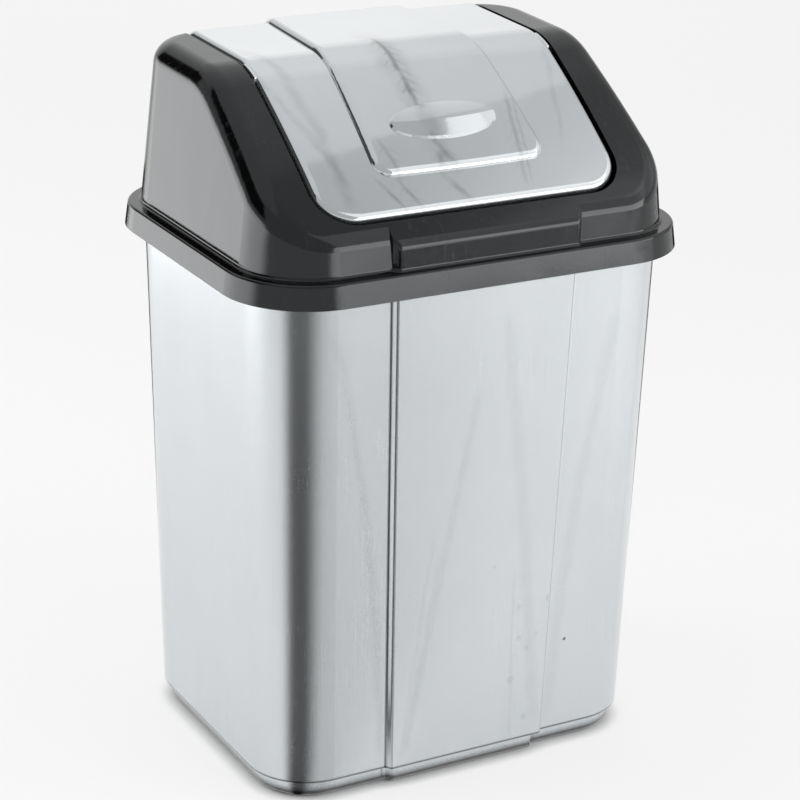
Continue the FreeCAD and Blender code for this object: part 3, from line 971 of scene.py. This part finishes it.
@dataclass(frozen=True)
class Card:
    """A card with soft edges, white or black, that stands out of the picture and only shows in reflections.

    Attributes:
        name: What the card is called.
        place: Its middle, in metres.
        aim: The point that it faces.
        width: Its width.
        height: Its height.
        radiance: How bright it is, where 0 is black and 1 is white.
        soft: The share of each half that fades out.
    """

    name: str
    place: Triple
    aim: Triple
    width: float
    height: float
    radiance: float
    soft: float

    def material(self) -> bpy.types.Material:
        """Make the card's face.

        Returns:
            The new material.
        """
        made, sheet = new_material(f"{self.name}_face")
        axes = sheet.axes(sheet.place())
        full = HALF_SIDE - self.soft * HALF_SIDE
        fades = [sheet.ease(sheet.sum("ABSOLUTE", axes[axis]), HALF_SIDE, full) for axis in ("X", "Y")]
        clear = sheet.add("ShaderNodeBsdfTransparent")
        glow = sheet.add("ShaderNodeEmission")
        sheet.feed(glow.inputs["Strength"], self.radiance)
        sheet.surface(sheet.sum("MULTIPLY", *fades), clear.outputs["BSDF"], glow.outputs["Emission"])
        return made

    def stand(self) -> None:
        """Set the card up."""
        card = new_plane(self.name, 1.0, self.place)
        card.scale = (self.width, self.height, 1.0)
        card.rotation_euler = (Vector(self.aim) - Vector(self.place)).to_track_quat("Z", "Y").to_euler()
        card.data.materials.append(self.material())
        only_mirrored(card)


@dataclass(frozen=True)
class Shot:
    """The photograph's viewpoint.

    Attributes:
        azimuth: Degrees round the bin from its front, where minus is to the viewer's left.
        elevation: Degrees above the horizon.
        roll: Degrees of tilt in the picture.
        distance: Metres from the aim to the lens.
        aim_height: Height of the aim over the floor.
        slide: Metres that the lens is moved to its right and up.
        lens: Focal length for a sensor of 36 mm.
    """

    azimuth: float = -29.03
    elevation: float = 21.02
    roll: float = 1.29
    distance: float = 1.54529
    aim_height: float = 0.2
    slide: Pair = (0.00312, -0.00331)
    lens: float = 119.12

    def take(self) -> None:
        """Make the camera and hand it to the scene."""
        turn, lift, tilt = (math.radians(angle) for angle in (self.azimuth, self.elevation, self.roll))
        back = Vector((math.sin(turn) * math.cos(lift), -math.cos(turn) * math.cos(lift), math.sin(lift)))
        right = Vector((math.cos(turn), math.sin(turn), 0.0))
        up = back.cross(right)
        place = Vector((0.0, 0.0, self.aim_height)) + back * self.distance
        place += right * self.slide[0] + up * self.slide[1]
        leaning_right = right * math.cos(tilt) + up * math.sin(tilt)
        leaning_up = up * math.cos(tilt) - right * math.sin(tilt)
        data = bpy.data.cameras.new("photo_view")
        data.lens = self.lens
        camera = bpy.data.objects.new("photo_view", data)
        axes = Matrix((leaning_right, leaning_up, back)).transposed()
        camera.matrix_world = Matrix.Translation(place) @ axes.to_4x4()
        bpy.context.scene.collection.objects.link(camera)
        bpy.context.scene.camera = camera


@dataclass(frozen=True)
class Flag:
    """A wedge of dark cloth on the floor that only shows in reflections, to draw the bin's corners.

    Attributes:
        name: What the flag is called.
        tip: Its point on the floor.
        spread: Degrees from the way to the camera where it starts, is full, thins out and ends.
        cover: How much of the floor it hides.
        reach: How far it runs out from its point.
        lift: How far each flag lies over the one before it.
        colour: The cloth's colour.
    """

    name: str
    tip: Pair
    spread: tuple[float, float, float, float]
    cover: float = 1.0
    reach: float = 1.2
    lift: float = 0.0004
    colour: Triple = (0.03, 0.03, 0.03)

    def material(self) -> bpy.types.Material:
        """Make the cloth, which fades out to its sides.

        Returns:
            The new material.
        """
        made, sheet = new_material(f"{self.name}_cloth")
        axes = sheet.axes(sheet.place())
        ahead = sheet.sum("MULTIPLY", axes["Y"], -1.0)
        angle = sheet.sum("ARCTAN2", axes["X"], ahead)
        start, full, thin, end = (math.radians(limit) for limit in self.spread)
        grown = sheet.ease(angle, start, full, 0.0, self.cover)
        share = sheet.sum("MULTIPLY", grown, sheet.ease(angle, end, thin))
        clear = sheet.add("ShaderNodeBsdfTransparent")
        cloth = sheet.add("ShaderNodeBsdfDiffuse")
        sheet.feed(cloth.inputs["Color"], opaque(self.colour))
        sheet.surface(share, clear.outputs["BSDF"], cloth.outputs["BSDF"])
        return made

    def lay(self, layer: int) -> None:
        """Lay the flag out.

        Args:
            layer: Its place in the pile of flags, from 1 up.
        """
        flag = new_plane(self.name, self.reach * 2, (*self.tip, self.lift * layer))
        flag.rotation_euler = (0.0, 0.0, math.radians(Shot.azimuth))
        flag.data.materials.append(self.material())
        only_mirrored(flag)


@dataclass
class Studio:
    """Floor, soft light and camera.

    Attributes:
        floor_reach: Half the floor's side.
        floor_colour: The floor's paint.
        floor_roughness: How matt the paint is.
        floor_gloss: How strongly the paint shines.
        floor_glow: How much of the floor's look in the picture is its own even tone.
        contact: How near the bin the even tone gives way to the shadow.
        contact_span: The openness at which the even tone starts, and at which it is full.
        mirrored_glow: The even tone's share where the floor shows in a reflection.
        air: The world's even glow.
        flags: The dark flags on the floor.
        lamps: The softboxes.
        cards: The cards.
    """

    floor_reach: float = 40.0
    floor_colour: Triple = (0.9, 0.9, 0.9)
    floor_roughness: float = 0.9
    floor_gloss: float = 0.0
    floor_glow: float = 0.72
    contact: float = 0.012
    contact_span: Pair = (0.35, 0.95)
    mirrored_glow: float = 0.4
    air: float = 0.43
    flags: tuple[Flag, ...] = (
        Flag("black_flag_corner", tip=(-0.098, -0.075), spread=(-43.0, -19.0, 2.0, 36.0)),
        Flag("grey_flag_front", tip=(-0.098, -0.075), spread=(0.0, 30.0, 50.0, 80.0), cover=0.34),
        Flag("black_flag_back_left", tip=(0.0, 0.0), spread=(-172.0, -164.0, -148.0, -140.0)),
        Flag("black_flag_back_right", tip=(0.0, 0.0), spread=(140.0, 148.0, 164.0, 172.0)),
    )
    lamps: tuple[Softbox, ...] = (
        Softbox(
            "top_softbox", place=(0.3, 1.065, 1.7), aim=(0.3, 1.065, 0.0),
            width=3.6, height=2.2, radiance=0.15, turn=28.0,
        ),
        Softbox(
            "key_softbox", place=(0.935, -1.034, 1.0), aim=(0.0, 0.0, 0.3),
            width=1.3, height=2.1, radiance=0.52,
        ),
        Softbox(
            "low_softbox", place=(1.7, -2.0, 0.5), aim=(0.2, 0.0, 0.1),
            width=2.4, height=0.9, radiance=2.2,
        ),
        Softbox(
            "left_softbox", place=(-0.9, 0.5, 0.9), aim=(-0.3, 0.25, 0.0),
            width=0.9, height=0.9, radiance=2.4, mirrored=False,
        ),
        Softbox(
            "floor_softbox", place=(0.75, -0.7, 0.75), aim=(0.5, -0.65, 0.0),
            width=0.5, height=0.5, radiance=3.4, mirrored=False,
        ),
        Softbox(
            "back_softbox", place=(0.6, 2.6, 1.15), aim=(0.0, 0.0, 0.5),
            width=3.2, height=2.1, radiance=0.62, mirrored=False,
        ),
    )
    cards: tuple[Card, ...] = (
        Card(
            "white_card_left", place=(-0.75, 0.55, 0.2), aim=(0.0, 0.0, 0.2),
            width=1.8, height=0.56, radiance=2.7, soft=0.5,
        ),
        Card(
            "white_card_front", place=(0.4, -1.4, 0.1), aim=(-0.05, -0.1, 0.1),
            width=0.7, height=0.5, radiance=2.8, soft=0.8,
        ),
        Card(
            "white_card_back", place=(0.75, 2.2, 0.95), aim=(0.0, 0.0, 0.4),
            width=4.4, height=2.6, radiance=0.95, soft=0.9,
        ),
        Card(
            "white_card_right", place=(1.6, -0.3, 1.0), aim=(0.0, 0.0, 0.35),
            width=1.6, height=1.4, radiance=0.9, soft=0.7,
        ),
        Card(
            "white_card_top", place=(0.4, 1.0, 1.65), aim=(0.4, 1.0, 0.0),
            width=3.0, height=2.4, radiance=0.74, soft=0.75,
        ),
        Card(
            "white_card_top_right", place=(1.3, -0.4, 1.6), aim=(1.3, -0.4, 0.0),
            width=1.6, height=1.4, radiance=1.1, soft=1.0,
        ),
        Card(
            "black_card_back_left", place=(-0.75, 1.35, 0.85), aim=(-0.05, 0.05, 0.41),
            width=0.6, height=0.8, radiance=0.0, soft=0.3,
        ),
        Card(
            "black_card_left", place=(-1.1, 0.22, 1.05), aim=(0.0, 0.0, 0.38),
            width=1.0, height=0.9, radiance=0.0, soft=0.25,
        ),
    )

    def floor_paint(self) -> bpy.types.Material:
        """Make the paint: an even tone for the picture and for reflections, and a shadow near the bin.

        Returns:
            The new material.
        """
        made, sheet = new_material("floor_paint")
        shader = made.node_tree.nodes["Principled BSDF"]
        sheet.feed(shader.inputs["Base Color"], opaque(self.floor_colour))
        sheet.feed(shader.inputs["Roughness"], self.floor_roughness)
        sheet.feed(shader.inputs["Specular IOR Level"], self.floor_gloss)
        glow = sheet.add("ShaderNodeEmission")
        sheet.feed(glow.inputs["Color"], opaque(WHITE))
        path = sheet.add("ShaderNodeLightPath")
        open_air = sheet.add("ShaderNodeAmbientOcclusion")
        sheet.feed(open_air.inputs["Distance"], self.contact)
        share = sheet.sum("MULTIPLY", path.outputs["Is Camera Ray"], self.floor_glow)
        share = sheet.sum("MULTIPLY", share, sheet.ease(open_air.outputs["AO"], *self.contact_span))
        for ray in ("Is Glossy Ray", "Is Transmission Ray"):
            share = sheet.sum("MULTIPLY_ADD", path.outputs[ray], self.mirrored_glow, share)
        sheet.surface(share, shader.outputs["BSDF"], glow.outputs["Emission"])
        return made

    def lay_floor(self) -> None:
        """Lay a plain pale floor that keeps a light shadow."""
        floor = new_plane("floor", self.floor_reach * 2)
        floor.data.materials.append(self.floor_paint())

    def fill_air(self) -> None:
        """Give the world an even glow."""
        world = bpy.data.worlds.new("studio_air")
        world.use_nodes = True
        bpy.context.scene.world = world
        back = world.node_tree.nodes["Background"]
        back.inputs["Color"].default_value = opaque(WHITE)
        back.inputs["Strength"].default_value = self.air

    def build(self) -> None:
        """Set up the whole studio."""
        self.lay_floor()
        for layer, flag in enumerate(self.flags, start=1):
            flag.lay(layer)
        self.fill_air()
        for softbox in self.lamps:
            softbox.hang()
        for card in self.cards:
            card.stand()
        Shot().take()
        bpy.context.scene.view_settings.view_transform = "Standard"
        log.info("studio set with %d softboxes and %d cards", len(self.lamps), len(self.cards))


def main() -> None:
    """Build the studio and dress the three mouldings."""
    logging.basicConfig(level=logging.INFO)
    Studio().build()
    for moulding in (Bucket(), Hood(), Flap()):
        moulding.dress()


if __name__ == "__main__":
    main()
